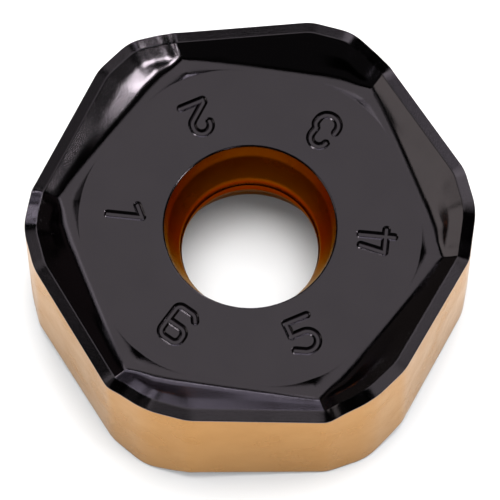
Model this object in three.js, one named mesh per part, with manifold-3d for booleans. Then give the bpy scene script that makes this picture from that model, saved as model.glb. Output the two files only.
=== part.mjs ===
// Hexagonal double-sided milling insert: one sintered carbide body, pressed to shape.
// Six corners on each face. Every corner has a tip (the low point of the cutting edge), a wiper
// facet that climbs away from it, a corner facet that runs level, and a heel from which the main
// edge falls to the next tip. The lower face is the upper face turned over about a corner's axis.
// Millimetres, +Z up, origin under the centre of the hole on the plane that the lower face rests on.
import * as THREE from 'three';
import { mergeVertices } from 'three/addons/utils/BufferGeometryUtils.js';
import Module from 'manifold-3d';

const wasm = await Module();
wasm.setup();

// ---- Driving dimensions: outline of the cutting edge seen from above ----
const SIDES = 6;
const PITCH = 360 / SIDES;              // degrees from one corner to the next
const INSCRIBED_DIAMETER = 15.875;      // circle inside the six main edges
// Each line has the direction of its outward normal, from the corner's own axis, and its distance
// from the centre of the hole.
const MAIN_EDGE = { normal: 29.42, distance: INSCRIBED_DIAMETER / 2 };
const WIPER_FACET = { normal: -10.6, distance: 8.38 };
const CORNER_FACET = { normal: 12.6, distance: 8.34 };
const TIP_RADIUS = 1.0;                 // rounding between a main edge and the wiper facet
const CORNER_RADIUS = 2.6;              // rounding between the wiper facet and the corner facet
const HEEL_RADIUS = 2.0;                // rounding between the corner facet and the main edge

// ---- Heights above the middle plane ----
const SEAT_HEIGHT = 2.578;              // flat clamping seat
const TIP_HEIGHT = 2.705;               // cutting edge where the main edge would meet the wiper
const STEP_HEIGHT = 3.035;              // end of the wiper's steep first stretch
const STEP_DISTANCE = 0.6;              // length of that stretch along the edge
const CORNER_HEIGHT = 3.425;            // level stretch of the cutting edge
const TIP_BLEND = 0.35;                 // half the length over which the edge turns at the tip
const STEP_BLEND = 0.15;
const CORNER_BLEND = 0.25;
const HEEL_BLEND = 0.3;

// ---- Top form, from the cutting edge inwards ----
const LAND_WIDTH = 0.45;                // protective land behind the cutting edge
const LAND_RISE = 0.086;                // the land climbs inwards by this much
const FLOOR_TIP = { radius: 7.2, angle: -11.5 };    // where two chip grooves meet, by the tip
const FLOOR_CORNER = { radius: 6.62, angle: 0 };    // groove's inner line on the corner's axis
const FLOOR_HEEL_SHARE = 0.125;         // place of the heel's ruling between corner and next tip
const GROOVE_FILLET = 0.8;              // radius at the foot of the rake face
const FILLET_SHARE = 0.9;               // most of the widest fillet that still fits
const OUTER_WIDTH = 0.5;                // outer part of the rake face, seen from above
const OUTER_SHARE = 0.5;                // most of the groove's width that it takes
const OUTER_SLOPE = 33;                 // degrees by which it climbs; the inner part is steeper
const OUTER_DROP_SHARE = 0.7;           // most of the groove's depth that it takes
const SEAT_CORNER_RADIUS = 4.5;         // rounding of the seat's own six corners
const SEAT_MARGIN = 0.03;               // narrowest strip kept between the seat and the groove
const POCKET_DEPTH = 0.1;               // groove's floor under the seat, where two grooves meet
const POCKET_WALL_SHARE = 0.45;         // part of the gap that the wall up to the seat takes

// ---- Hole for the clamping screw: radius and height above the middle plane ----
const BORE_PROFILE = [
  [2.61, 0.10],                         // raised ring round the middle of the throat
  [2.67, 0.17],
  [2.67, 0.50],                         // end of the straight throat
  [2.71, 0.64],
  [3.12, 1.90],                         // countersink
  [3.24, 2.48],
  [3.32, SEAT_HEIGHT],                  // broken edge at the seat
];

// ---- Index numerals sunk into the seats ----
const NUMERAL_RADIUS = 4.75;            // centre of a numeral from the hole's axis
const NUMERAL_OFFSET = -8.4;            // degrees from the corner's axis
const STROKE_WIDTH = 0.33;
const STROKE_DEPTH = 0.1;
const STROKE_CLEAR = 0.2;               // cutter's height above the seat
// Each stroke is a bent line of points [across, up, rounding]; up points to the hole.
const NUMERALS = [
  [[[-0.39, 0.43, 0], [0.06, 0.65, 0.06], [0.06, -0.64, 0]]],
  [[[-0.32, 0.22, 0], [-0.32, 0.58, 0.33], [0.35, 0.58, 0.33], [0.35, 0.03, 0.2],
    [-0.42, -0.58, 0.07], [-0.42, -0.71, 0.06], [0.47, -0.71, 0]]],
  [[[-0.33, 0.33, 0], [-0.33, 0.63, 0.33], [0.34, 0.63, 0.33], [0.34, 0.06, 0.12],
    [0.48, -0.13, 0.12], [0.48, -0.73, 0.4], [-0.37, -0.73, 0.4], [-0.37, -0.23, 0]]],
  [[[-0.28, 0.52, 0], [-0.48, -0.39, 0.05], [0.42, -0.39, 0]],
    [[0.15, 0.58, 0], [0.16, -0.7, 0]]],
  [[[0.5, 0.655, 0], [-0.35, 0.655, 0.06], [-0.35, 0.1, 0.06], [0.52, 0.1, 0.4],
    [0.52, -0.69, 0.4], [-0.02, -0.69, 0.3], [-0.43, -0.47, 0]]],
  [[[0.59, 0.46, 0], [0.42, 0.66, 0.2], [-0.3, 0.66, 0.17], [-0.27, -0.69, 0.27],
    [0.58, -0.69, 0.27], [0.56, -0.05, 0.27], [-0.29, -0.05, 0]]],
];
const FIRST_NUMERAL_CORNER = 3;         // corner that holds 1, counted anticlockwise from +X

// ---- Fineness of the faceted solid ----
const ARC_STEPS = 3;                    // steps in each rounding of the outline
const FACET_STOPS = [0.4];              // points along a facet, as a share from its tip or heel
const MAIN_STOPS = [0.2, 0.4, 0.6, 0.8];
const FILLET_STEPS = 2;
const STROKE_ARC_STEP = 45;             // degrees between points of a rounded stroke
const STROKE_END_STEPS = 2;             // steps in a quarter turn of a stroke's round end

const HALF_HEIGHT = CORNER_HEIGHT + LAND_RISE;
const FOOT_SINK = 1e-3;                 // keeps the foot of the seat's wall apart from the fillet
const WELD_DISTANCE = 1e-3;             // points closer than this are one

const radians = THREE.MathUtils.degToRad;

/** Unit vector in plan at an angle in degrees. */
function heading(angle) {
  return new THREE.Vector2(Math.cos(radians(angle)), Math.sin(radians(angle)));
}

/** Point at a radius and an angle in degrees. */
function polar({ radius, angle }) {
  return heading(angle).multiplyScalar(radius);
}

/** Line of the outline as it stands for the given corner. */
function lineAt(line, corner) {
  return { normal: line.normal + corner * PITCH, distance: line.distance };
}

/** Point where two lines meet once both are moved inwards by inset. */
function crossing(first, second, inset = 0) {
  const a = heading(first.normal);
  const b = heading(second.normal);
  const p = first.distance - inset;
  const q = second.distance - inset;
  const area = a.x * b.y - a.y * b.x;
  return new THREE.Vector2((p * b.y - q * a.y) / area, (q * a.x - p * b.x) / area);
}

/** Stations round one corner of the outline, each with its place and the direction it faces. */
function roundedCorner(first, second, radius) {
  const centre = crossing(first, second, radius);
  const stations = [];
  for (let step = 0; step <= ARC_STEPS; step += 1) {
    const facing = THREE.MathUtils.lerp(first.normal, second.normal, step / ARC_STEPS);
    stations.push({ place: heading(facing).multiplyScalar(radius).add(centre), facing });
  }
  return stations;
}

/** Stations at given shares of the straight between two stations. */
function straight(from, to, stops) {
  return stops.map((share) => ({
    place: from.place.clone().lerp(to.place, share),
    facing: THREE.MathUtils.lerp(from.facing, to.facing, share),
  }));
}

/** Stations of corner 0 from its tip to just before the next tip, with distances along the edge. */
function cornerStations() {
  const main = lineAt(MAIN_EDGE, -1);
  const tip = roundedCorner(main, WIPER_FACET, TIP_RADIUS);
  const corner = roundedCorner(WIPER_FACET, CORNER_FACET, CORNER_RADIUS);
  const heel = roundedCorner(CORNER_FACET, MAIN_EDGE, HEEL_RADIUS);
  const next = roundedCorner(MAIN_EDGE, lineAt(WIPER_FACET, 1), TIP_RADIUS);
  const stopsBack = FACET_STOPS.map((share) => 1 - share).reverse();
  const stations = [
    ...tip,
    ...straight(tip.at(-1), corner[0], FACET_STOPS),
    ...corner,
    ...straight(corner.at(-1), heel[0], stopsBack),
    ...heel,
    ...straight(heel.at(-1), next[0], MAIN_STOPS),
  ];
  const tipHalf = radians(WIPER_FACET.normal - main.normal) * TIP_RADIUS / 2;
  let distance = -tipHalf;
  stations.forEach((station, index) => {
    distance += index ? station.place.distanceTo(stations[index - 1].place) : 0;
    station.along = distance;
  });
  const middle = (arc) => (arc[0].along + arc.at(-1).along) / 2;
  const reach = stations.at(-1).place.distanceTo(next[0].place);
  const marks = { corner: middle(corner), heel: middle(heel), end: distance + reach + tipHalf };
  return { stations, marks };
}

/** Rise after a bend: nothing before it, the full distance after it, a parabola between. */
function bend(distance, half) {
  if (distance <= -half) return 0;
  return distance >= half ? distance : (distance + half) ** 2 / (4 * half);
}

/** Height of the cutting edge at a distance along it from the tip. */
function edgeHeight(along, marks) {
  const fall = (TIP_HEIGHT - CORNER_HEIGHT) / (marks.end - marks.heel);
  const steep = (STEP_HEIGHT - TIP_HEIGHT) / STEP_DISTANCE;
  const climb = (CORNER_HEIGHT - STEP_HEIGHT) / (marks.corner - STEP_DISTANCE);
  return TIP_HEIGHT + fall * along
    + (steep - fall) * bend(along, TIP_BLEND)
    + (climb - steep) * bend(along - STEP_DISTANCE, STEP_BLEND)
    - climb * bend(along - marks.corner, CORNER_BLEND)
    + fall * bend(along - marks.heel, HEEL_BLEND)
    + (steep - fall) * bend(along - marks.end, TIP_BLEND);
}

/** Point of the groove's inner line that a station's ruling runs to. */
function floorPoint(along, marks) {
  const tip = polar(FLOOR_TIP);
  const corner = polar(FLOOR_CORNER);
  const next = polar({ radius: FLOOR_TIP.radius, angle: FLOOR_TIP.angle + PITCH });
  const heel = corner.clone().lerp(next, FLOOR_HEEL_SHARE);
  const clamped = THREE.MathUtils.clamp(along, 0, marks.end);
  if (clamped < marks.corner) return tip.lerp(corner, clamped / marks.corner);
  if (clamped < marks.heel) {
    return corner.lerp(heel, (clamped - marks.corner) / (marks.heel - marks.corner));
  }
  return heel.lerp(next, (clamped - marks.heel) / (marks.end - marks.heel));
}

/** Plan gap between the groove's inner line and the rounded seat, and its direction outwards. */
function seatGap(floor) {
  const inwards = SEAT_CORNER_RADIUS / Math.cos(radians(PITCH / 2));
  let best = { gap: SEAT_MARGIN, out: floor.clone().normalize() };
  for (const angle of [FLOOR_TIP.angle, FLOOR_TIP.angle + PITCH]) {
    const centre = polar({ radius: FLOOR_TIP.radius - inwards, angle });
    const out = floor.clone().sub(centre);
    const turn = THREE.MathUtils.radToDeg(out.angle()) - angle;
    const offAxis = Math.abs(THREE.MathUtils.euclideanModulo(turn + 180, 360) - 180);
    const gap = out.length() - SEAT_CORNER_RADIUS;
    if (offAxis <= PITCH / 2 && gap > best.gap) best = { gap, out: out.normalize() };
  }
  return best;
}

/** One station's points from the seat out to the cutting edge, as vectors. */
function topSection(station, marks) {
  const lift = (plan, height) => new THREE.Vector3(plan.x, plan.y, height);
  const height = edgeHeight(station.along, marks);
  const land = heading(station.facing).multiplyScalar(-LAND_WIDTH).add(station.place);
  const floor = floorPoint(station.along, marks);
  const { gap, out } = seatGap(floor);
  const wall = POCKET_WALL_SHARE * gap;
  const widestGap = SEAT_CORNER_RADIUS * (1 / Math.cos(radians(PITCH / 2)) - 1);
  const floorHeight = SEAT_HEIGHT - POCKET_DEPTH * gap / widestGap;
  const seat = out.clone().multiplyScalar(-gap).add(floor);
  const foot = out.clone().multiplyScalar(wall).add(seat);

  // The outer part of the rake face climbs at its own angle from a ridge.
  const width = land.distanceTo(floor);
  const depth = height + LAND_RISE - floorHeight;
  const outer = Math.min(OUTER_WIDTH, OUTER_SHARE * width);
  const climb = Math.min(outer * Math.tan(radians(OUTER_SLOPE)), OUTER_DROP_SHARE * depth);
  const outwards = land.clone().sub(floor).normalize();
  const ridge = outwards.clone().multiplyScalar(-outer).add(land);

  // The inner part is a steeper slope that ends in a round fillet, level at the groove's floor.
  const run = width - outer;
  const drop = depth - climb;
  const fillet = Math.min(GROOVE_FILLET, FILLET_SHARE * (run * run + drop * drop) / (2 * drop));
  const root = Math.sqrt(run * run + drop * (drop - 2 * fillet));
  const slope = 2 * Math.atan(drop / (run + root));
  const points = [lift(seat, SEAT_HEIGHT), lift(foot, floorHeight - FOOT_SINK)];
  for (let step = 0; step <= FILLET_STEPS; step += 1) {
    const turn = slope * step / FILLET_STEPS;
    const plan = outwards.clone().multiplyScalar(fillet * Math.sin(turn)).add(floor);
    points.push(lift(plan, floorHeight + fillet * (1 - Math.cos(turn))));
  }
  points.push(
    lift(ridge, height + LAND_RISE - climb),
    lift(land, height + LAND_RISE),
    lift(station.place, height),
  );
  return points;
}

/** Rings of points of the upper half, from the throat of the hole out to the cutting edge. */
function upperRings() {
  const { stations, marks } = cornerStations();
  const count = stations.length * SIDES;
  const middle = (stations.length - MAIN_STOPS.length - 1) / 2;
  const rings = BORE_PROFILE.map(([radius, height]) => Array.from({ length: count }, (_, index) => {
    const plan = polar({ radius, angle: (index - middle) * 360 / count });
    return new THREE.Vector3(plan.x, plan.y, height);
  }));
  const sections = [];
  const axis = new THREE.Vector3(0, 0, 1);
  for (let corner = 0; corner < SIDES; corner += 1) {
    for (const station of stations) {
      const points = topSection(station, marks);
      sections.push(points.map((point) => point.applyAxisAngle(axis, radians(corner * PITCH))));
    }
  }
  sections[0].forEach((_, ring) => rings.push(sections.map((section) => section[ring])));
  return { rings, middle };
}

/** Closed body: the rings of both halves, joined in one loop through hole, face and flank. */
function bodyGeometry() {
  const { rings, middle } = upperRings();
  const count = rings[0].length;
  const turnOver = (ring) => ring.map((_, index) => {
    const partner = ring[THREE.MathUtils.euclideanModulo(2 * middle - index, count)];
    return new THREE.Vector3(partner.x, -partner.y, -partner.z);
  });
  const loop = [...rings, ...rings.map(turnOver).reverse()];
  const positions = loop.flat().flatMap((point) => [point.x, point.y, point.z]);
  const faces = [];
  loop.forEach((_, ring) => {
    const here = ring * count;
    const there = ((ring + 1) % loop.length) * count;
    for (let index = 0; index < count; index += 1) {
      const next = (index + 1) % count;
      faces.push(here + index, there + index, there + next);
      faces.push(here + index, there + next, here + next);
    }
  });
  const geometry = new THREE.BufferGeometry();
  geometry.setAttribute('position', new THREE.Float32BufferAttribute(positions, 3));
  geometry.setIndex(faces);
  return geometry;
}

/** Centre line of a stroke with its bends rounded. */
function strokeLine(points) {
  const line = [];
  points.forEach(([x, y, rounding], index) => {
    const here = new THREE.Vector2(x, y);
    if (!rounding) {
      line.push(here);
      return;
    }
    const back = new THREE.Vector2(...points[index - 1]).sub(here).normalize();
    const ahead = new THREE.Vector2(...points[index + 1]).sub(here).normalize();
    const half = Math.acos(THREE.MathUtils.clamp(back.dot(ahead), -1, 1)) / 2;
    const reach = rounding / Math.tan(half);
    const centre = back.clone().add(ahead).normalize().multiplyScalar(rounding / Math.sin(half));
    centre.add(here);
    const start = back.multiplyScalar(reach).add(here).sub(centre);
    const finish = ahead.multiplyScalar(reach).add(here).sub(centre);
    const turn = Math.atan2(start.cross(finish), start.dot(finish));
    const steps = Math.max(1, Math.round(Math.abs(turn) / radians(STROKE_ARC_STEP)));
    for (let step = 0; step <= steps; step += 1) {
      line.push(start.clone().rotateAround(new THREE.Vector2(), turn * step / steps).add(centre));
    }
  });
  return line;
}

/** Upright cutter with round ends between two points of a stroke. */
function strokeCutter(from, to) {
  const direction = to.clone().sub(from).angle();
  const shape = new THREE.Shape();
  shape.absarc(from.x, from.y, STROKE_WIDTH / 2, direction + Math.PI / 2, direction - Math.PI / 2);
  shape.absarc(to.x, to.y, STROKE_WIDTH / 2, direction - Math.PI / 2, direction + Math.PI / 2);
  return new THREE.ExtrudeGeometry(shape, {
    depth: STROKE_DEPTH + STROKE_CLEAR, bevelEnabled: false, curveSegments: STROKE_END_STEPS,
  });
}

/** Solid for manifold-3d from a closed three.js geometry. */
function toSolid(geometry) {
  const bare = geometry.clone();
  bare.deleteAttribute('normal');
  bare.deleteAttribute('uv');
  const merged = mergeVertices(bare, WELD_DISTANCE);
  return new wasm.Manifold(new wasm.Mesh({
    numProp: 3,
    vertProperties: new Float32Array(merged.attributes.position.array),
    triVerts: new Uint32Array(merged.index.array),
  }));
}

/** Geometry for three.js from a manifold-3d solid. */
function toGeometry(solid) {
  const mesh = solid.getMesh();
  const geometry = new THREE.BufferGeometry();
  geometry.setAttribute('position', new THREE.Float32BufferAttribute(mesh.vertProperties, 3));
  geometry.setIndex([...mesh.triVerts]);
  return geometry;
}

/** All cutters of one numeral, standing on the upper seat at its corner. */
function numeralCutters(strokes, corner) {
  const angle = corner * PITCH + NUMERAL_OFFSET;
  const place = polar({ radius: NUMERAL_RADIUS, angle });
  const stand = new THREE.Matrix4().makeRotationZ(radians(angle + 90));
  stand.setPosition(place.x, place.y, SEAT_HEIGHT - STROKE_DEPTH);
  return strokes.flatMap((points) => {
    const line = strokeLine(points);
    return line.slice(1).map((to, index) => {
      const cutter = strokeCutter(line[index], to);
      return toSolid(cutter.applyMatrix4(stand));
    });
  });
}

/** The body with its numerals cut into both seats, counted clockwise on each. */
function insertGeometry() {
  let solid = toSolid(bodyGeometry());
  const cutters = NUMERALS.flatMap((strokes, index) => (
    numeralCutters(strokes, FIRST_NUMERAL_CORNER - index)));
  const engraving = wasm.Manifold.union(cutters);
  solid = solid.subtract(engraving).subtract(engraving.rotate([180, 0, 0]));
  const geometry = toGeometry(solid).toNonIndexed();
  geometry.computeVertexNormals();
  return geometry;
}

const part = new THREE.Group();
const coatedCarbide = new THREE.MeshStandardMaterial({ color: 0x2b282b, roughness: 0.35, metalness: 0.6 });
const insert = new THREE.Mesh(insertGeometry(), coatedCarbide);
insert.name = 'insert';
insert.position.z = HALF_HEIGHT;
part.add(insert);

export default part;
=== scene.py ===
"""Looks of a hexagonal double-sided milling insert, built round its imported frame.

The insert is one coated carbide body. Its skin follows a rule, so one corner of one face is
computed here and a geometry-node tree repeats it round the hole and turns it over for the other
face. Index numerals are swept along their strokes by a second tree and sunk into both seats.
Lengths are millimetres until the finished mesh is scaled to metres.
"""
import logging
import math
from dataclasses import dataclass, field
from enum import Enum

import bmesh
import bpy
import numpy as np
from mathutils import Matrix, Vector


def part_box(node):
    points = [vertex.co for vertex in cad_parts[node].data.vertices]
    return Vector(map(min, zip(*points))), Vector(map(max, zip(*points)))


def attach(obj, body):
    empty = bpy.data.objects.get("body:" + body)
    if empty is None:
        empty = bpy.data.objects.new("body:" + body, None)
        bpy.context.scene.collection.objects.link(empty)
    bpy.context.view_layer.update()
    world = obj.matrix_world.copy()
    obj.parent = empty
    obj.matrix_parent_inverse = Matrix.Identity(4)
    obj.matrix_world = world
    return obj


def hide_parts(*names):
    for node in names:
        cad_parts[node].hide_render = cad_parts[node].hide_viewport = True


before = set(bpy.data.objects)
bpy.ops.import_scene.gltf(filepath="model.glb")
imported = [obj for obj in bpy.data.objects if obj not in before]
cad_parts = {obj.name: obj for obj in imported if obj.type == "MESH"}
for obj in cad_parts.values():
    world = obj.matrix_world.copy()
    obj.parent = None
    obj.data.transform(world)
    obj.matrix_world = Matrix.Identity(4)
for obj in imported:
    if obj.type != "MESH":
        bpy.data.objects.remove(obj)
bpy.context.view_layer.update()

MM = 0.001
SIDES = 6
PITCH = 360.0 / SIDES
log = logging.getLogger("insert")

Ring = np.ndarray


class Zone(Enum):
    """Finishes of the skin; the value marks the faces of each."""

    BLACK = 0
    GOLD = 1
    BORE = 2


# ---------------------------------------------------------------------------------------------
# Plan geometry
# ---------------------------------------------------------------------------------------------


def heading(angle: float | np.ndarray) -> np.ndarray:
    """Unit vectors in plan.

    Args:
        angle: directions in degrees, anticlockwise from +X.

    Returns:
        Array whose last axis holds x and y.
    """
    turn = np.radians(angle)
    return np.stack([np.cos(turn), np.sin(turn)], axis=-1)


def spin(points: np.ndarray, angle: float) -> np.ndarray:
    """Points turned about the hole's axis.

    Args:
        points: array whose last axis starts with x and y.
        angle: degrees, anticlockwise.

    Returns:
        Turned copy.
    """
    cosine, sine = heading(angle)
    turned = points.copy()
    turned[..., 0] = cosine * points[..., 0] - sine * points[..., 1]
    turned[..., 1] = sine * points[..., 0] + cosine * points[..., 1]
    return turned


def turn_over(points: np.ndarray) -> np.ndarray:
    """Points turned half a turn about +X, which swaps the upper and the lower face."""
    return points * np.array([1.0, -1.0, -1.0])


@dataclass(frozen=True)
class Side:
    """Straight side of the outline.

    Attributes:
        normal: direction that it faces, in degrees from its corner's axis.
        distance: distance from the hole's axis.
    """

    normal: float
    distance: float

    def at(self, corner: int) -> "Side":
        """The same side of another corner, counted anticlockwise."""
        return Side(self.normal + corner * PITCH, self.distance)

    def crossing(self, other: "Side", inset: float = 0.0) -> np.ndarray:
        """Point where two sides meet once both are moved inwards.

        Args:
            other: the second side.
            inset: how far both move.

        Returns:
            The point in plan.
        """
        facing = np.array([heading(self.normal), heading(other.normal)])
        return np.linalg.solve(facing, [self.distance - inset, other.distance - inset])


@dataclass
class Stations:
    """Places along the cutting edge of one corner.

    Attributes:
        plan: places in plan.
        facing: outward directions in degrees.
        along: distances along the edge from the tip.
    """

    plan: np.ndarray
    facing: np.ndarray
    along: np.ndarray


def arc(first: Side, second: Side, radius: float, steps: int) -> tuple[np.ndarray, np.ndarray]:
    """Round corner between two sides.

    Args:
        first: side before the corner.
        second: side after it.
        radius: rounding.
        steps: equal steps of the turn.

    Returns:
        Places in plan, and the directions that they face.
    """
    facing = np.linspace(first.normal, second.normal, steps + 1)
    return first.crossing(second, radius) + radius * heading(facing), facing


def bend(distance: np.ndarray, half: float) -> np.ndarray:
    """Rise after a bend: nothing before it, the full distance after it, a parabola between.

    Args:
        distance: signed distances from the bend.
        half: half the length over which it turns.

    Returns:
        The rise at each distance for a unit change of slope.
    """
    middle = (np.clip(distance, -half, half) + half) ** 2 / (4 * half)
    return np.where(distance > half, distance, middle)


# ---------------------------------------------------------------------------------------------
# The cutting edge of one corner
# ---------------------------------------------------------------------------------------------


@dataclass
class CuttingEdge:
    """Cutting edge of one corner, from its low tip to the next corner's tip.

    It climbs along the wiper facet, runs level along the corner facet and falls along the main
    edge. Heights are above the middle plane.
    """

    main: Side = Side(29.42, 7.9375)
    wiper: Side = Side(-10.6, 8.38)
    facet: Side = Side(12.6, 8.34)
    tip_radius: float = 1.0
    corner_radius: float = 2.6
    heel_radius: float = 2.0
    tip_height: float = 2.705
    step_height: float = 3.035
    step_distance: float = 0.6
    top_height: float = 3.425
    tip_blend: float = 0.35
    step_blend: float = 0.15
    corner_blend: float = 0.25
    heel_blend: float = 0.3
    tip_steps: int = 10
    corner_steps: int = 10
    facet_steps: int = 14
    main_steps: int = 26

    def __post_init__(self) -> None:
        """Works out the stations and the distances of the corner, the heel and the next tip."""
        before = self.main.at(-1)
        tip = arc(before, self.wiper, self.tip_radius, self.tip_steps)
        corner = arc(self.wiper, self.facet, self.corner_radius, self.corner_steps)
        heel = arc(self.facet, self.main, self.heel_radius, self.tip_steps)
        following = arc(self.main, self.wiper.at(1), self.tip_radius, self.tip_steps)
        runs = [(tip, corner, self.facet_steps), (corner, heel, self.facet_steps),
                (heel, following, self.main_steps)]
        plan, facing = [], []
        for start, finish, steps in runs:
            share = np.linspace(0, 1, steps + 1)[1:-1, None]
            plan += [start[0], start[0][-1] + share * (finish[0][0] - start[0][-1])]
            facing += [start[1], np.full(steps - 1, start[1][-1])]
        plan = np.concatenate(plan)
        lengths = np.linalg.norm(np.diff(plan, axis=0), axis=1)
        half_tip = math.radians(self.wiper.normal - before.normal) * self.tip_radius / 2
        along = np.concatenate([[0.0], np.cumsum(lengths)]) - half_tip
        self.stations = Stations(plan, np.concatenate(facing), along)
        self.count = len(plan)
        middle = self.tip_steps + self.facet_steps + self.corner_steps // 2
        self.mirror = 2 * middle
        last = np.linalg.norm(following[0][0] - plan[-1])
        self.corner_at = along[middle]
        self.heel_at = along[middle + self.corner_steps // 2 + self.facet_steps
                             + self.tip_steps // 2]
        self.end_at = along[-1] + last + half_tip

    def height(self, along: np.ndarray) -> np.ndarray:
        """Height of the edge.

        Args:
            along: distances from the tip.

        Returns:
            Heights above the middle plane.
        """
        fall = (self.tip_height - self.top_height) / (self.end_at - self.heel_at)
        steep = (self.step_height - self.tip_height) / self.step_distance
        climb = (self.top_height - self.step_height) / (self.corner_at - self.step_distance)
        return (self.tip_height + fall * along
                + (steep - fall) * bend(along, self.tip_blend)
                + (climb - steep) * bend(along - self.step_distance, self.step_blend)
                - climb * bend(along - self.corner_at, self.corner_blend)
                + fall * bend(along - self.heel_at, self.heel_blend)
                + (steep - fall) * bend(along - self.end_at, self.tip_blend))


# ---------------------------------------------------------------------------------------------
# The skin of one corner, from the middle of the hole to the middle of the flank
# ---------------------------------------------------------------------------------------------

LONGEST_REACH = 0.88    # most of the shorter neighbouring straight that a rounding takes


@dataclass(frozen=True)
class Bend:
    """Key point of a section: a ring of places, how it is rounded, and what follows it.

    Attributes:
        ring: one place for each station.
        reach: how far the rounding reaches to each side, for all stations or for each; none
            leaves a sharp bend.
        steps: steps of the rounding.
        stops: shares of the straight to the next bend that get rings of their own.
        zone: finish of the skin from this bend to the next.
    """

    ring: Ring
    reach: float | np.ndarray = 0.0
    steps: int = 4
    stops: tuple[float, ...] = ()
    zone: Zone = Zone.BLACK


def lay_section(bends: list[Bend]) -> tuple[list[Ring], list[Zone]]:
    """Rounds a section's bends.

    Args:
        bends: key points in order; the first and last stay where they are.

    Returns:
        The rings in order, and the finish of each strip between two of them.
    """
    rings: list[Ring] = []
    zones: list[Zone] = []

    def add(ring: Ring, zone: Zone) -> None:
        """Adds a ring.

        Args:
            ring: the ring.
            zone: finish of the strip before it.
        """
        if rings:
            zones.append(zone)
        rings.append(ring)

    leaving = bends[0].ring
    add(leaving, bends[0].zone)
    for before, here, after in zip(bends, bends[1:], bends[2:] + [None]):
        arriving = here.ring
        back = before.ring - here.ring
        rounded = after is not None and np.any(here.reach)
        if rounded:
            ahead = after.ring - here.ring
            lengths = [np.linalg.norm(side, axis=1, keepdims=True) for side in (back, ahead)]
            wanted = np.broadcast_to(here.reach, len(here.ring))[:, None]
            reach = np.minimum(wanted, LONGEST_REACH * np.minimum(*lengths))
            arriving = here.ring + back / lengths[0] * reach
            finish = here.ring + ahead / lengths[1] * reach
        for share in before.stops:
            add(leaving + share * (arriving - leaving), before.zone)
        add(arriving, before.zone)
        if rounded:
            for step in range(1, here.steps + 1):
                share = step / here.steps
                add((1 - share) ** 2 * arriving + 2 * share * (1 - share) * here.ring
                    + share ** 2 * finish, here.zone)
            leaving = finish
        else:
            leaving = arriving
    return rings, zones


@dataclass
class Hole:
    """Screw hole: a straight throat with a raised ring, and a countersink at each face.

    Radii are from the hole's axis and heights above the middle plane. A reach is how far a
    rounding goes to each side of its bend.
    """

    ring_radius: float = 2.61
    ring_half: float = 0.10
    ring_reach: float = 0.02
    throat_radius: float = 2.67
    throat_half: float = 0.17
    cone_foot: float = 0.515
    cone_reach: float = 0.16
    sink_radius: float = 3.12
    sink_height: float = 1.90
    sink_reach: float = 0.08
    rim_radius: float = 3.26
    rim_reach: float = 0.07

    def bends(self, angles: np.ndarray, seat: float) -> list[Bend]:
        """Key points of the hole's wall.

        Args:
            angles: direction of each station in degrees.
            seat: height of the seat.

        Returns:
            Bends from the middle plane up to the rim.
        """
        around = heading(angles)

        def circle(radius: float, height: float) -> Ring:
            """Circle round the hole's axis."""
            return np.column_stack([around * radius, np.full(len(angles), height)])

        ends = (0.04, 0.96)
        bore_painted_shade = Zone.BORE
        return [
            Bend(circle(self.ring_radius, 0.0), zone=bore_painted_shade),
            Bend(circle(self.ring_radius, self.ring_half), self.ring_reach, 3, zone=bore_painted_shade),
            Bend(circle(self.throat_radius, self.throat_half), self.ring_reach, 3, ends, bore_painted_shade),
            Bend(circle(self.throat_radius, self.cone_foot), self.cone_reach, 5, ends, bore_painted_shade),
            Bend(circle(self.sink_radius, self.sink_height), self.sink_reach, 3, ends, bore_painted_shade),
            Bend(circle(self.rim_radius, seat), self.rim_reach, 5),
        ]


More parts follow.
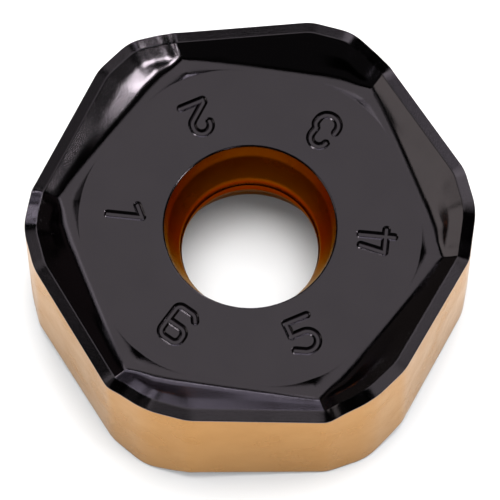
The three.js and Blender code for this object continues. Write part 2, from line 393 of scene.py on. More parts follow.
@dataclass
class TopForm:
    """Face of the insert from the seat out to the cutting edge, and the flank below it.

    Floor points are (distance from the hole's axis, degrees from the corner's axis). A share is
    the most of the room there is that a feature takes. The roundings seat_edge, pocket_round,
    ridge_reach, land_edge and hone are how far each goes to either side of its bend. The black
    finish ends one hairline below the hone.
    """

    seat_height: float = 2.578
    land_width: float = 0.45
    land_rise: float = 0.086
    floor_tip: tuple[float, float] = (7.2, -11.5)
    floor_corner: tuple[float, float] = (6.62, 0.0)
    floor_heel_share: float = 0.125
    groove_fillet: float = 0.8
    fillet_share: float = 0.9
    outer_width: float = 0.5
    outer_share: float = 0.5
    outer_slope: float = 33.0
    outer_drop: float = 0.7
    ridge_reach: float = 0.14
    seat_corner_radius: float = 4.5
    seat_margin: float = 0.03
    pocket_depth: float = 0.1
    pocket_share: float = 0.45
    pocket_wall: float = 0.23
    pocket_power: float = 1.25
    pocket_round: float = 0.2
    seat_edge: float = 0.025
    land_edge: float = 0.03
    hone: float = 0.015
    hairline: float = 0.03

    def floor(self, edge: CuttingEdge) -> np.ndarray:
        """Groove's inner line, where each station's slope comes down to.

        Args:
            edge: the corner's cutting edge.

        Returns:
            Places in plan.
        """
        tip = self.floor_tip[0] * heading(self.floor_tip[1])
        corner = self.floor_corner[0] * heading(self.floor_corner[1])
        following = spin(tip, PITCH)
        heel = corner + self.floor_heel_share * (following - corner)
        marks = [0.0, edge.corner_at, edge.heel_at, edge.end_at]
        keys = np.array([tip, corner, heel, following])
        along = edge.stations.along
        return np.column_stack([np.interp(along, marks, keys[:, axis]) for axis in (0, 1)])

    def seat_gap(self, floor: np.ndarray) -> tuple[np.ndarray, np.ndarray]:
        """Strip between the seat's rounded outline and the groove's inner line.

        Args:
            floor: the groove's inner line.

        Returns:
            Widths of the strip, and the directions across it.
        """
        inwards = self.seat_corner_radius / math.cos(math.radians(PITCH / 2))
        gap = np.full(len(floor), self.seat_margin)
        out = floor / np.linalg.norm(floor, axis=1, keepdims=True)
        for angle in (self.floor_tip[1], self.floor_tip[1] + PITCH):
            spoke = floor - (self.floor_tip[0] - inwards) * heading(angle)
            length = np.linalg.norm(spoke, axis=1)
            turn = np.degrees(np.arctan2(spoke[:, 1], spoke[:, 0])) - angle
            inside = np.abs((turn + 180) % 360 - 180) <= PITCH / 2
            better = inside & (length - self.seat_corner_radius > gap)
            gap = np.where(better, length - self.seat_corner_radius, gap)
            out = np.where(better[:, None], spoke / length[:, None], out)
        return gap, out

    def bends(self, edge: CuttingEdge) -> list[Bend]:
        """Key points of the face and of the flank down to its middle.

        Args:
            edge: the corner's cutting edge.

        Returns:
            Bends from the seat's outline to the middle of the flank.
        """
        stations = edge.stations
        height = edge.height(stations.along)
        rim = np.column_stack([stations.plan, height])
        inner = stations.plan - self.land_width * heading(stations.facing)
        land = np.column_stack([inner, height + self.land_rise])
        floor = self.floor(edge)
        gap, out = self.seat_gap(floor)
        wall = np.minimum(self.pocket_share * gap, self.pocket_wall)
        depth = self.pocket_depth * (gap / gap.max()) ** self.pocket_power
        seat_plan = floor - gap[:, None] * out
        seat = np.column_stack([seat_plan, np.full(edge.count, self.seat_height)])
        foot = np.column_stack([seat_plan + wall[:, None] * out, self.seat_height - depth])

        # The outer part of the rake face climbs at its own angle from a soft ridge.
        run = np.linalg.norm(inner - floor, axis=1)
        drop = height + self.land_rise - (self.seat_height - depth)
        outwards = (inner - floor) / run[:, None]
        outer = np.minimum(self.outer_width, self.outer_share * run)
        climb = np.minimum(outer * math.tan(math.radians(self.outer_slope)),
                           self.outer_drop * drop)
        ridge = np.column_stack([inner - outer[:, None] * outwards,
                                 height + self.land_rise - climb])

        # The fillet ends level, just at the groove's inner line, and never reaches the ridge.
        run, drop = run - outer, drop - climb
        widest = self.fillet_share * (run ** 2 + drop ** 2) / (2 * drop)
        fillet = np.minimum(self.groove_fillet, widest)
        root = np.sqrt(run ** 2 + drop * (drop - 2 * fillet))
        reach = fillet * drop / (run + root)
        groove = np.column_stack([floor + reach[:, None] * outwards, self.seat_height - depth])

        whole = np.concatenate([spin(rim, corner * PITCH) for corner in range(SIDES)])
        partner = (edge.mirror - np.arange(edge.count)) % len(whole)
        middle = (rim + turn_over(whole[partner])) / 2
        down = (middle - rim) / np.linalg.norm(middle - rim, axis=1, keepdims=True)
        hairline = rim + down * (self.hone + self.hairline)
        return [
            Bend(seat, self.seat_edge, 3, (0.1, 0.9)),
            Bend(foot, self.pocket_round, 5, (0.1, 0.5, 0.9)),
            Bend(groove, reach, 10, (0.3, 0.7)),
            Bend(ridge, self.ridge_reach, 6, (0.3, 0.6, 0.95)),
            Bend(land, self.land_edge, 4, (0.07, 0.5, 0.93)),
            Bend(rim, self.hone, 5),
            Bend(hairline, zone=Zone.GOLD, stops=(0.02, 0.3, 0.65)),
            Bend(middle, zone=Zone.GOLD),
        ]


# ---------------------------------------------------------------------------------------------
# Index numerals
# ---------------------------------------------------------------------------------------------

# A stroke is a bent line of points (across, up, rounding); up points to the hole.
Stroke = tuple[tuple[float, float, float], ...]

STROKES: dict[int, tuple[Stroke, ...]] = {
    1: (((0.06, 0.65, 0), (0.06, -0.64, 0)),
        ((-0.39, 0.43, 0), (0.06, 0.65, 0))),
    2: (((-0.32, 0.22, 0), (-0.32, 0.58, 0.33), (0.35, 0.58, 0.33), (0.35, 0.03, 0.3),
         (-0.42, -0.6, 0), (-0.42, -0.7, 0)),
        ((-0.42, -0.71, 0), (0.47, -0.71, 0))),
    3: (((-0.33, 0.33, 0), (-0.33, 0.63, 0.33), (0.34, 0.63, 0.33), (0.34, 0.02, 0)),
        ((0.34, 0.02, 0), (0.48, -0.13, 0.2), (0.48, -0.73, 0.41), (-0.37, -0.73, 0.41),
         (-0.37, -0.23, 0))),
    4: (((0.15, 0.58, 0), (0.16, -0.7, 0)),
        ((-0.28, 0.52, 0), (-0.48, -0.39, 0)),
        ((-0.48, -0.39, 0), (0.42, -0.39, 0))),
    5: (((0.5, 0.655, 0), (-0.35, 0.655, 0)),
        ((-0.35, 0.655, 0), (-0.35, 0.1, 0)),
        ((-0.35, 0.1, 0), (0.52, 0.1, 0.4), (0.52, -0.69, 0.4), (-0.02, -0.69, 0.3),
         (-0.43, -0.47, 0))),
    6: (((0.59, 0.46, 0), (0.42, 0.66, 0.24), (-0.3, 0.66, 0.2), (-0.29, -0.3, 0)),
        ((-0.29, -0.3, 0), (-0.27, -0.69, 0.27), (0.58, -0.69, 0.27), (0.56, -0.05, 0.27),
         (-0.2, -0.05, 0))),
}


@dataclass
class Numerals:
    """Index numerals 1 to 6, one at each corner, counted clockwise from above.

    Attributes:
        radius: centre of a numeral from the hole's axis.
        offset: degrees from the corner's axis.
        first_corner: corner that holds 1, counted anticlockwise from +X.
        section: half of a stroke's section as (across, depth), from above its rim inwards.
        step: spacing of the points along a stroke.
    """

    radius: float = 4.75
    offset: float = -8.4
    first_corner: int = 3
    section: tuple[tuple[float, float], ...] = (
        (0.215, -0.0225), (0.165, 0.0), (0.1, 0.0293), (0.055, 0.083))
    step: float = 0.03

    def profile(self) -> bpy.types.Object:
        """Closed section that is swept along each stroke.

        Returns:
            Curve object, x across the stroke and y down into the seat.
        """
        right = [(across, depth, 0, 1) for across, depth in self.section]
        left = [(-across, depth, 0, 1) for across, depth in reversed(self.section)]
        curve = bpy.data.curves.new("stroke_section", "CURVE")
        line = curve.splines.new("POLY")
        line.points.add(2 * len(right) - 1)
        line.points.foreach_set("co", [value for point in right + left for value in point])
        line.use_cyclic_u = True
        section = bpy.data.objects.new("stroke_section", curve)
        bpy.context.scene.collection.objects.link(section)
        return section

    def lengthened(self, stroke: Stroke) -> list[tuple[float, float, float]]:
        """A stroke whose ends reach on by half its width, which its round ends then take up.

        Args:
            stroke: the stroke as drawn.

        Returns:
            The lengthened stroke.
        """
        bends = [Vector(point) for point in stroke]
        for end, inner in ((0, 1), (-1, -2)):
            bends[end].z = 0.0
            outwards = (bends[end] - bends[inner]).to_2d().normalized()
            bends[end] += outwards.to_3d() * self.section[1][0]
        return [tuple(point) for point in bends]

    def layer(self, index: int, seat: float) -> bpy.types.Object | None:
        """Lines of one stroke of every numeral that has it, as edges on the upper seat.

        Args:
            index: which stroke, from 0.
            seat: height of the seat.

        Returns:
            Mesh object with a rounding at each point, or nothing past the last stroke.
        """
        points, roundings, edges = [], [], []
        for digit, strokes in STROKES.items():
            if index >= len(strokes):
                continue
            angle = (self.first_corner + 1 - digit) * PITCH + self.offset
            across, up = heading(angle + 90), heading(angle + 180)
            start = len(points)
            for x, y, rounding in self.lengthened(strokes[index]):
                place = -up * self.radius + across * x + up * y
                points.append((*place, seat))
                roundings.append(rounding)
            edges += [(i, i + 1) for i in range(start, len(points) - 1)]
        if not points:
            return None
        mesh = bpy.data.meshes.new(f"stroke_{index}")
        mesh.from_pydata(points, edges, [])
        mesh.attributes.new("rounding", "FLOAT", "POINT").data.foreach_set("value", roundings)
        return new_object(f"stroke_{index}", mesh)


# ---------------------------------------------------------------------------------------------
# Node trees
# ---------------------------------------------------------------------------------------------


def new_object(name: str, mesh: bpy.types.Mesh) -> bpy.types.Object:
    """Adds a mesh object at the origin.

    Args:
        name: its name.
        mesh: its mesh.

    Returns:
        The object.
    """
    piece = bpy.data.objects.new(name, mesh)
    bpy.context.scene.collection.objects.link(piece)
    return piece


@dataclass
class Tree:
    """Small helper that writes a node tree.

    Attributes:
        tree: the node tree.
    """

    tree: bpy.types.NodeTree

    def add(self, kind: str, **values: object) -> bpy.types.Node:
        """Adds a node.

        Args:
            kind: the node's type.
            values: its settings by property name.

        Returns:
            The node.
        """
        node = self.tree.nodes.new(kind)
        for name, value in values.items():
            setattr(node, name, value)
        return node

    def feed(self, node: bpy.types.Node, **inputs: object) -> bpy.types.Node:
        """Links or sets a node's inputs.

        Args:
            node: the node.
            inputs: a socket or a value by socket name, with _ for a space; a name that
                ends in a number is a place among the node's sockets, as in_0.

        Returns:
            The node.
        """
        for name, value in inputs.items():
            if name.startswith("in_"):
                socket = node.inputs[int(name[3:])]
            else:
                shown = [s for s in node.inputs if s.enabled and s.name == name.replace("_", " ")]
                socket = shown[0]
            if isinstance(value, bpy.types.NodeSocket):
                self.tree.links.new(value, socket)
            else:
                socket.default_value = value
        return node

    def math(self, operation: str, *values: object) -> bpy.types.NodeSocket:
        """Arithmetic on numbers and sockets.

        Args:
            operation: Math node operation.
            values: sockets or numbers.

        Returns:
            The result's socket.
        """
        node = self.add("ShaderNodeMath", operation=operation)
        self.feed(node, **{f"in_{place}": value for place, value in enumerate(values)})
        return node.outputs[0]


def geometry_tree(name: str, kinds: dict[str, str]) -> tuple[Tree, dict[str, bpy.types.NodeSocket]]:
    """Starts a geometry-node tree with named inputs.

    Args:
        name: the tree's name.
        kinds: socket type of each input.

    Returns:
        The tree, and its input sockets by name.
    """
    tree = bpy.data.node_groups.new(name, "GeometryNodeTree")
    tree.interface.new_socket("Geometry", in_out="INPUT", socket_type="NodeSocketGeometry")
    for label, kind in kinds.items():
        tree.interface.new_socket(label, in_out="INPUT", socket_type=kind)
    tree.interface.new_socket("Geometry", in_out="OUTPUT", socket_type="NodeSocketGeometry")
    entry = tree.nodes.new("NodeGroupInput")
    return Tree(tree), {socket.name: socket for socket in entry.outputs if socket.name}


def grow(source: bpy.types.Object, tree: Tree, values: dict[str, object]) -> bpy.types.Mesh:
    """Runs a geometry-node tree on an object and keeps the plain mesh.

    Args:
        source: the object that the tree starts from; it is removed.
        tree: the tree.
        values: inputs by name.

    Returns:
        The resulting mesh.
    """
    modifier = source.modifiers.new(tree.tree.name, "NODES")
    modifier.node_group = tree.tree
    for item in tree.tree.interface.items_tree:
        if item.in_out == "INPUT" and item.name in values:
            modifier[item.identifier] = values[item.name]
    source.update_tag()
    mesh = plain_mesh(source)
    bpy.data.objects.remove(source)
    return mesh


def plain_mesh(piece: bpy.types.Object) -> bpy.types.Mesh:
    """Mesh of an object as its modifiers leave it."""
    graph = bpy.context.evaluated_depsgraph_get()
    return bpy.data.meshes.new_from_object(piece.evaluated_get(graph))


def corner_tree(finishes: dict[Zone, bpy.types.Material]) -> Tree:
    """Tree that repeats one corner's skin round the hole and over to the lower face.

    Args:
        finishes: material of each zone.

    Returns:
        The tree, whose inputs are the number of corners, the weld's distance and the finishes.
    """
    kinds = {"Corners": "NodeSocketInt", "Weld": "NodeSocketFloat"}
    kinds |= {zone.name: "NodeSocketMaterial" for zone in finishes}
    tree, given = geometry_tree("repeat_corner", kinds)
    both_faces = tree.math("MULTIPLY", given["Corners"], 2)
    points = tree.feed(tree.add("GeometryNodePoints"), Count=both_faces)
    index = tree.add("GeometryNodeInputIndex").outputs[0]
    face = tree.math("FLOOR", tree.math("DIVIDE", index, given["Corners"]))
    flip = tree.math("MULTIPLY", face, math.pi)
    turn = tree.math("MULTIPLY", index, tree.math("DIVIDE", 2 * math.pi, given["Corners"]))
    angles = tree.feed(tree.add("ShaderNodeCombineXYZ"), X=flip, Z=turn)
    rotation = tree.feed(tree.add("FunctionNodeEulerToRotation"), Euler=angles.outputs[0])
    copies = tree.feed(tree.add("GeometryNodeInstanceOnPoints"), Points=points.outputs[0],
                       Instance=given["Geometry"], Rotation=rotation.outputs[0])
    solid = tree.feed(tree.add("GeometryNodeRealizeInstances"), Geometry=copies.outputs[0])
    solid = tree.feed(tree.add("GeometryNodeMergeByDistance"), Geometry=solid.outputs[0],
                      Distance=given["Weld"])
    zone = tree.feed(tree.add("GeometryNodeInputNamedAttribute", data_type="INT"), Name="zone")
    solid = tree.feed(tree.add("GeometryNodeSetMaterial"), Geometry=solid.outputs[0],
                      Material=given[Zone.BLACK.name])
    for kind in (Zone.GOLD, Zone.BORE):
        chosen = tree.feed(tree.add("FunctionNodeCompare", data_type="INT", operation="EQUAL"),
                           A=zone.outputs[0], B=kind.value)
        solid = tree.feed(tree.add("GeometryNodeSetMaterial"), Geometry=solid.outputs[0],
                          Selection=chosen.outputs[0], Material=given[kind.name])
    tree.feed(tree.add("NodeGroupOutput"), Geometry=solid.outputs[0])
    return tree


def stroke_tree() -> Tree:
    """Tree that sweeps a section along a stroke's line, for both faces.

    Returns:
        The tree, whose inputs are the section, half its width, the step and the finish.
    """
    smallest_end = 0.15    # least size of the section, at the very end of a stroke
    tree, given = geometry_tree("cut_strokes", {
        "Section": "NodeSocketObject", "Half Width": "NodeSocketFloat",
        "Step": "NodeSocketFloat", "Finish": "NodeSocketMaterial"})
    line = tree.feed(tree.add("GeometryNodeMeshToCurve"), Mesh=given["Geometry"])
    rounding = tree.feed(tree.add("GeometryNodeInputNamedAttribute"), Name="rounding")
    line = tree.feed(tree.add("GeometryNodeFilletCurve", mode="POLY"), Curve=line.outputs[0],
                     Count=12, Radius=rounding.outputs[0], Limit_Radius=True)
    line = tree.feed(tree.add("GeometryNodeResampleCurve", mode="LENGTH"),
                     Curve=line.outputs[0], Length=given["Step"])

    # Towards each end the section shrinks as a ball does, so that the stroke ends round.
    place = tree.add("GeometryNodeSplineParameter")
    length = tree.add("GeometryNodeSplineLength")
    left = tree.math("SUBTRACT", length.outputs["Length"], place.outputs["Length"])
    near = tree.math("MINIMUM", left, place.outputs["Length"])
    inside = tree.math("MINIMUM", tree.math("DIVIDE", near, given["Half Width"]), 1.0)
    inner = tree.math("SUBTRACT", 1.0, inside)
    ball = tree.math("SQRT", tree.math("SUBTRACT", 1.0, tree.math("MULTIPLY", inner, inner)))
    size = tree.math("MAXIMUM", ball, smallest_end)

    section = tree.feed(tree.add("GeometryNodeObjectInfo"), Object=given["Section"])
    line = tree.feed(tree.add("GeometryNodeSetCurveNormal", mode="Z_UP"), Curve=line.outputs[0])
    cutter = tree.feed(tree.add("GeometryNodeCurveToMesh"), Curve=line.outputs[0],
                       Profile_Curve=section.outputs["Geometry"], Scale=size, Fill_Caps=True)
    points = tree.feed(tree.add("GeometryNodePoints"), Count=2)
    index = tree.add("GeometryNodeInputIndex").outputs[0]
    flip = tree.feed(tree.add("ShaderNodeCombineXYZ"), X=tree.math("MULTIPLY", index, math.pi))
    rotation = tree.feed(tree.add("FunctionNodeEulerToRotation"), Euler=flip.outputs[0])
    both = tree.feed(tree.add("GeometryNodeInstanceOnPoints"), Points=points.outputs[0],
                     Instance=cutter.outputs[0], Rotation=rotation.outputs[0])
    both = tree.feed(tree.add("GeometryNodeRealizeInstances"), Geometry=both.outputs[0])
    both = tree.feed(tree.add("GeometryNodeSetMaterial"), Geometry=both.outputs[0],
                     Material=given["Finish"])
    tree.feed(tree.add("NodeGroupOutput"), Geometry=both.outputs[0])
    return tree


# ---------------------------------------------------------------------------------------------
# Finishes
# ---------------------------------------------------------------------------------------------

NOISE_RANGE = (0.3, 0.7)    # where most values of a noise texture lie
LINE_LENGTH = 20.0          # length of a grinding line over its spacing
GRAIN_WEIGHT = 0.4          # weight of the grain where grinding lines lie over it


def grain_group() -> bpy.types.NodeTree:
    """Shader group for the fine grain of a coating.

    Returns:
        Group with the inputs Grain Size and Blotch Size in millimetres, and the outputs Height
        and Mottle.
    """
    group = bpy.data.node_groups.new("coating_grain", "ShaderNodeTree")
    sizes = ("Grain Size", "Blotch Size")
    for label in sizes:
        group.interface.new_socket(label, in_out="INPUT", socket_type="NodeSocketFloat")
    for label in ("Height", "Mottle"):
        group.interface.new_socket(label, in_out="OUTPUT", socket_type="NodeSocketFloat")
    tree = Tree(group)
    entry = tree.add("NodeGroupInput")
    place = tree.add("ShaderNodeTexCoord").outputs["Object"]
    frequency = [tree.math("DIVIDE", 1 / MM, entry.outputs[label]) for label in sizes]
    grain = tree.feed(tree.add("ShaderNodeTexNoise"), Vector=place, Scale=frequency[0],
                      Detail=2.0, Roughness=0.6)
    blotch = tree.feed(tree.add("ShaderNodeTexNoise"), Vector=place, Scale=frequency[1],
                       Detail=3.0, Roughness=0.5)
    tree.feed(tree.add("NodeGroupOutput"), Height=grain.outputs[0], Mottle=blotch.outputs[0])
    return group


@dataclass(frozen=True)
class Coating:
    """Hard coating on the carbide.

    Attributes:
        name: material name.
        colour: linear colour of its reflection.
        shade: that colour where the mottle is strongest.
        edge: tint of the reflection at a grazing angle.
        roughness: least and greatest, by mottle.
        grain: grain size in millimetres.
        bump: height of the grain in millimetres.
        lines: spacing of grinding lines in millimetres, one above the other, or 0 for none.
        blotch: size of the mottle's blotches in millimetres.
    """

    name: str
    colour: tuple[float, float, float]
    shade: tuple[float, float, float]
    edge: tuple[float, float, float]
    roughness: tuple[float, float]
    grain: float
    bump: float
    lines: float = 0.0
    blotch: float = 1.4

    def material(self, grain_tree: bpy.types.NodeTree) -> bpy.types.Material:
        """Builds the material.

        Args:
            grain_tree: the shared grain group.

        Returns:
            The material.
        """
        material = bpy.data.materials.new(self.name)
        material.use_nodes = True
        tree = Tree(material.node_tree)
        shader = material.node_tree.nodes["Principled BSDF"]
        grain = tree.add("ShaderNodeGroup", node_tree=grain_tree)
        tree.feed(grain, Grain_Size=self.grain, Blotch_Size=self.blotch)
        colour = tree.add("ShaderNodeMix", data_type="RGBA")
        tree.feed(colour, Factor=grain.outputs["Mottle"])
        tree.feed(colour, A=(*self.colour, 1.0), B=(*self.shade, 1.0))
        rough = tree.feed(tree.add("ShaderNodeMapRange"), Value=grain.outputs["Mottle"],
                          From_Min=NOISE_RANGE[0], From_Max=NOISE_RANGE[1],
                          To_Min=self.roughness[0], To_Max=self.roughness[1])
        height = grain.outputs["Height"]
        if self.lines:
            height = self.ground_lines(tree, height)
        bump = tree.feed(tree.add("ShaderNodeBump"), Strength=1.0, Distance=self.bump * MM,
                         Height=height)
        tree.feed(shader, Base_Color=colour.outputs["Result"], Roughness=rough.outputs[0],
                  Normal=bump.outputs[0], Metallic=1.0, Specular_Tint=(*self.edge, 1.0))
        return material

    def ground_lines(self, tree: Tree, grain: bpy.types.NodeSocket) -> bpy.types.NodeSocket:
        """Adds the lines that the grinding wheel leaves round the flanks.

        Args:
            tree: the material's tree.
            grain: height of the grain.

        Returns:
            Height of grain and lines together.
        """
        place = tree.add("ShaderNodeTexCoord").outputs["Object"]
        stretch = tree.feed(tree.add("ShaderNodeMapping"), Vector=place,
                            Scale=(1 / LINE_LENGTH, 1 / LINE_LENGTH, 1.0))
        lines = tree.feed(tree.add("ShaderNodeTexNoise"), Vector=stretch.outputs[0],
                          Scale=1 / (self.lines * MM), Detail=3.0, Roughness=0.6)
        return tree.math("ADD", tree.math("MULTIPLY", grain, GRAIN_WEIGHT), lines.outputs[0])


# ---------------------------------------------------------------------------------------------
# The insert
# ---------------------------------------------------------------------------------------------


@dataclass
class MillingInsert:
    """The whole insert: skin, numerals and finishes.

    Attributes:
        node: the frame's solid that it stands for.
        body: the frame's body that it rides.
        slot: material slot in the record; not used.
        edge: cutting edge of a corner.
        form: face and flank of a corner.
        hole: the screw hole.
        numerals: the index numerals.
        black: finish of both faces.
        gold: finish of the flanks.
        bore_painted_shade: finish of the hole's wall; its gold is darkened to brown as painted
            shade.
        weld: points closer than this, in millimetres, are one.
        crease: bends sharper than this, in degrees, stay crisp.
    """

    node: str = "insert"
    body: str = "root"
    slot: str = "coated_carbide"
    edge: CuttingEdge = field(default_factory=CuttingEdge)
    form: TopForm = field(default_factory=TopForm)
    hole: Hole = field(default_factory=Hole)
    numerals: Numerals = field(default_factory=Numerals)
    black: Coating = Coating("black_coating", (0.21, 0.185, 0.205), (0.19, 0.168, 0.187),
                             (0.5, 0.5, 0.5), (0.14, 0.19), 0.05, 0.0028)
    gold: Coating = Coating("gold_coating", (0.41, 0.195, 0.05), (0.36, 0.165, 0.04),
                            (0.92, 0.82, 0.68), (0.2, 0.3), 0.06, 0.0015, 0.12)
    # The hole's wall gets the flanks' gold darkened to brown, with a dimmer edge tint: painted
    # shade standing in for the shade and dim reflections inside the hole.
    bore_painted_shade: Coating = Coating("bore_coating", (0.19, 0.052, 0.002), (0.17, 0.044, 0.0015),
                            (0.62, 0.36, 0.06), (0.22, 0.3), 0.06, 0.001)
    weld: float = 1e-4
    crease: float = 24.0

    def build(self) -> bpy.types.Object:
        """Builds the insert where the frame's solid stands.

        Returns:
            The finished object.
        """
        grain = grain_group()
        finishes = {Zone.BLACK: self.black.material(grain), Zone.GOLD: self.gold.material(grain),
                    Zone.BORE: self.bore_painted_shade.material(grain)}
        values = {"Corners": SIDES, "Weld": self.weld}
        values |= {zone.name: material for zone, material in finishes.items()}
        body = new_object("coated_insert", grow(self.corner(), corner_tree(finishes), values))
        log.info("skin: %d faces", len(body.data.polygons))
        self.engrave(body, finishes[Zone.BLACK])
        self.crease_edges(body.data)
        self.place(body)
        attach(body, self.body)
        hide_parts(self.node)
        log.info("coated_insert: %d faces", len(body.data.polygons))
        return body

    def corner(self) -> bpy.types.Object:
        """Skin of one corner of the upper face, from the hole's middle to the flank's.

        Returns:
            Mesh object with the zone of each face.
        """
        count = self.edge.count
        step = PITCH / count
        angles = (np.arange(count) - self.edge.mirror / 2) * step
        bends = self.hole.bends(angles, self.form.seat_height) + self.form.bends(self.edge)
        rings, zones = lay_section(bends)
        closed = [np.vstack([ring, spin(ring[:1], PITCH)]) for ring in rings]
        points = np.concatenate(closed)
        width = count + 1
        faces, marks = [], []
        for strip, zone in enumerate(zones):
            for index in range(count):
                low = strip * width + index
                faces.append((low, low + width, low + width + 1, low + 1))
                marks.append(zone.value)
        mesh = bpy.data.meshes.new("corner")
        mesh.from_pydata(points.tolist(), [], faces)
        mesh.attributes.new("zone", "INT", "FACE").data.foreach_set("value", marks)
        return new_object("corner", mesh)

    def engrave(self, body: bpy.types.Object, finish: bpy.types.Material) -> None:
        """Sinks the numerals into both seats.

        Args:
            body: the insert.
            finish: the material of the strokes' walls.
        """
        tree = stroke_tree()
        section = self.numerals.profile()
        values = {"Section": section, "Half Width": self.numerals.section[1][0],
                  "Step": self.numerals.step, "Finish": finish}
        cutters = []
        for index in range(max(len(strokes) for strokes in STROKES.values())):
            line = self.numerals.layer(index, self.form.seat_height)
            cutter = new_object(f"cutter_{index}", grow(line, tree, values))
            modifier = body.modifiers.new(cutter.name, "BOOLEAN")
            modifier.operation = "DIFFERENCE"
            modifier.solver = "MANIFOLD"
            modifier.object = cutter
            cutters.append(cutter)
        body.update_tag()
        mesh = plain_mesh(body)
        body.modifiers.clear()
        body.data = mesh

        # The tree can leave an empty slot in front of the finishes.
        if mesh.materials[0] is None:
            mesh.materials.pop(index=0)
        for tool in (*cutters, section):
            bpy.data.objects.remove(tool)

    def crease_edges(self, mesh: bpy.types.Mesh) -> None:
        """Smooths the skin, but keeps real corners crisp and the seats flat.

        Args:
            mesh: the insert's mesh.
        """
        work = bmesh.new()
        work.from_mesh(mesh)
        seat = {face for face in work.faces
                if all(abs(abs(vertex.co.z) - self.form.seat_height) < self.weld
                       for vertex in face.verts)}
        for face in work.faces:
            face.smooth = True
        for edge in work.edges:
            flat = any(face in seat for face in edge.link_faces)
            edge.smooth = not flat and edge.calc_face_angle(0.0) < math.radians(self.crease)
        work.to_mesh(mesh)
        work.free()

    def place(self, body: bpy.types.Object) -> None:
        """Scales the mesh to metres, inside the box of the frame's solid, and moves it there.

        Args:
            body: the insert.
        """
        low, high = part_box(self.node)
        spread = [max(values) - min(values) for values in
                  zip(*(vertex.co for vertex in body.data.vertices))]
        fit = min((top - bottom) / (size * MM) for bottom, top, size in zip(low, high, spread))
        scale = MM * min(1.0, fit)
        body.data.transform(Matrix.Translation((low + high) / 2) @ Matrix.Scale(scale, 4))
        body.data.update()


# ---------------------------------------------------------------------------------------------
# Studio
# ---------------------------------------------------------------------------------------------


@dataclass(frozen=True)
class Softbox:
    """Flat light that faces the insert.

    Attributes:
        name: its name.
        azimuth: direction from the insert, degrees anticlockwise from +X.
        elevation: degrees above the floor.
        size: width and height in metres.
        glow: brightness of its face.
        colour: its colour.
        mirrored: whether the insert's skin shows its reflection.
        distance: distance from the insert in metres.
    """

    name: str
    azimuth: float
    elevation: float
    size: tuple[float, float]
    glow: float
    colour: tuple[float, float, float] = (1.0, 1.0, 1.0)
    mirrored: bool = True
    distance: float = 0.8

    def build(self, centre: Vector) -> bpy.types.Object:
        """Places the light.

        Args:
            centre: the point that it faces.

        Returns:
            The light object.
        """
        light = bpy.data.lights.new(self.name, "AREA")
        light.shape = "RECTANGLE"
        light.size, light.size_y = self.size
        light.energy = self.glow * math.pi * self.size[0] * self.size[1]
        light.color = self.colour
        lamp = bpy.data.objects.new(self.name, light)
        bpy.context.scene.collection.objects.link(lamp)
        plan = heading(self.azimuth) * math.cos(math.radians(self.elevation))
        outwards = Vector((*plan, math.sin(math.radians(self.elevation))))
        lamp.location = centre + outwards * self.distance
        lamp.rotation_euler = outwards.to_track_quat("Z", "Y").to_euler()
        lamp.visible_glossy = self.mirrored
        return lamp


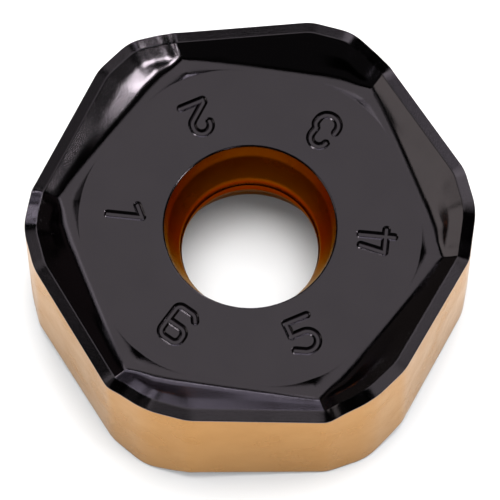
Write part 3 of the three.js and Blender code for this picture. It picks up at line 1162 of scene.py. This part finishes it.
@dataclass
class Studio:
    """Pale floor, soft lights and the camera.

    Attributes:
        floor_size: side of the square floor in metres.
        floor_white: share of the light that it gives back.
        camera_azimuth: direction from the insert, degrees anticlockwise from +X.
        camera_elevation: degrees above the floor.
        camera_distance: metres from the insert's middle.
        lens: focal length in millimetres.
        lights: the soft lights; the dark ones give the black faces something dim to mirror.
        room: brightness of the light from all round, which the insert's skin doesn't mirror.
    """

    floor_size: float = 1.2
    floor_white: float = 0.9
    camera_azimuth: float = -92.2
    camera_elevation: float = 69.75
    camera_distance: float = 0.1864
    lens: float = 351.0
    lights: tuple[Softbox, ...] = (
        Softbox("overhead", 78.0, 71.0, (0.68, 0.66), 0.28),
        Softbox("dim_left", 142.0, 57.0, (0.2, 0.4), 0.075),
        Softbox("right_box", -24.0, 21.0, (0.19, 0.22), 6.5),
        Softbox("back_strip", 88.0, 12.0, (0.3, 0.36), 0.5, (0.86, 0.86, 1.0)),
        Softbox("tall_strip", 67.0, 16.5, (0.08, 0.25), 4.0),
        Softbox("back_line", 92.0, 30.0, (0.4, 0.05), 2.6, (0.9, 0.9, 1.0)),
        Softbox("right_back", 57.0, 44.0, (0.36, 0.26), 0.38, (0.95, 0.95, 1.0)),
        Softbox("left_card", 183.0, 26.0, (0.45, 0.55), 0.38, (1.0, 0.98, 0.9)),
        Softbox("front_right", -72.0, 28.0, (0.16, 0.15), 1.2, (0.9, 0.9, 1.0)),
        Softbox("dark_front", -110.0, 45.0, (0.8, 0.6), 0.012),
        Softbox("dark_right", 42.0, 12.0, (0.25, 0.25), 0.02, (1.0, 0.8, 0.8)),
        Softbox("dark_back", 124.0, 16.0, (0.3, 0.35), 0.03, (1.0, 0.9, 0.8)),
        Softbox("floor_wash", 70.0, 83.0, (0.55, 0.5), 8.0, mirrored=False),
    )
    room: float = 0.8

    def build(self) -> None:
        """Builds floor, lights and camera."""
        low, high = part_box("insert")
        centre = (low + high) / 2
        self.floor(low.z)
        for light in self.lights:
            light.build(centre)
        self.camera(centre)
        self.world()

    def floor(self, level: float) -> None:
        """Adds the floor.

        Args:
            level: height of its top.
        """
        half = self.floor_size / 2
        mesh = bpy.data.meshes.new("floor")
        corners = [(-half, -half), (half, -half), (half, half), (-half, half)]
        mesh.from_pydata([(x, y, level) for x, y in corners], [], [(0, 1, 2, 3)])
        floor = new_object("floor", mesh)
        material = bpy.data.materials.new("floor_white")
        material.use_nodes = True
        shader = material.node_tree.nodes["Principled BSDF"]
        Tree(material.node_tree).feed(shader, Base_Color=(*[self.floor_white] * 3, 1.0),
                                      Roughness=0.9, Specular_IOR_Level=0.0)
        mesh.materials.append(material)

    def camera(self, centre: Vector) -> None:
        """Adds the camera.

        Args:
            centre: the point that it looks at.
        """
        data = bpy.data.cameras.new("camera")
        data.lens = self.lens
        data.sensor_width = 36.0
        data.clip_start = 0.01
        camera = bpy.data.objects.new("camera", data)
        bpy.context.scene.collection.objects.link(camera)
        plan = heading(self.camera_azimuth) * math.cos(math.radians(self.camera_elevation))
        outwards = Vector((*plan, math.sin(math.radians(self.camera_elevation))))
        camera.location = centre + outwards * self.camera_distance
        camera.rotation_euler = outwards.to_track_quat("Z", "Y").to_euler()
        bpy.context.scene.camera = camera

    def world(self) -> None:
        """Fills the shadows on the floor with light that the insert's skin doesn't mirror."""
        world = bpy.data.worlds.new("room")
        world.use_nodes = True
        background = world.node_tree.nodes["Background"]
        background.inputs["Color"].default_value = (*[self.room] * 3, 1.0)
        world.cycles_visibility.glossy = False
        bpy.context.scene.world = world
        bpy.context.scene.view_settings.view_transform = "Standard"


def main() -> None:
    """Builds the insert and its studio."""
    logging.basicConfig(level=logging.INFO, format="%(name)s: %(message)s")
    MillingInsert().build()
    Studio().build()
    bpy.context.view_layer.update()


if __name__ == "__main__":
    main()
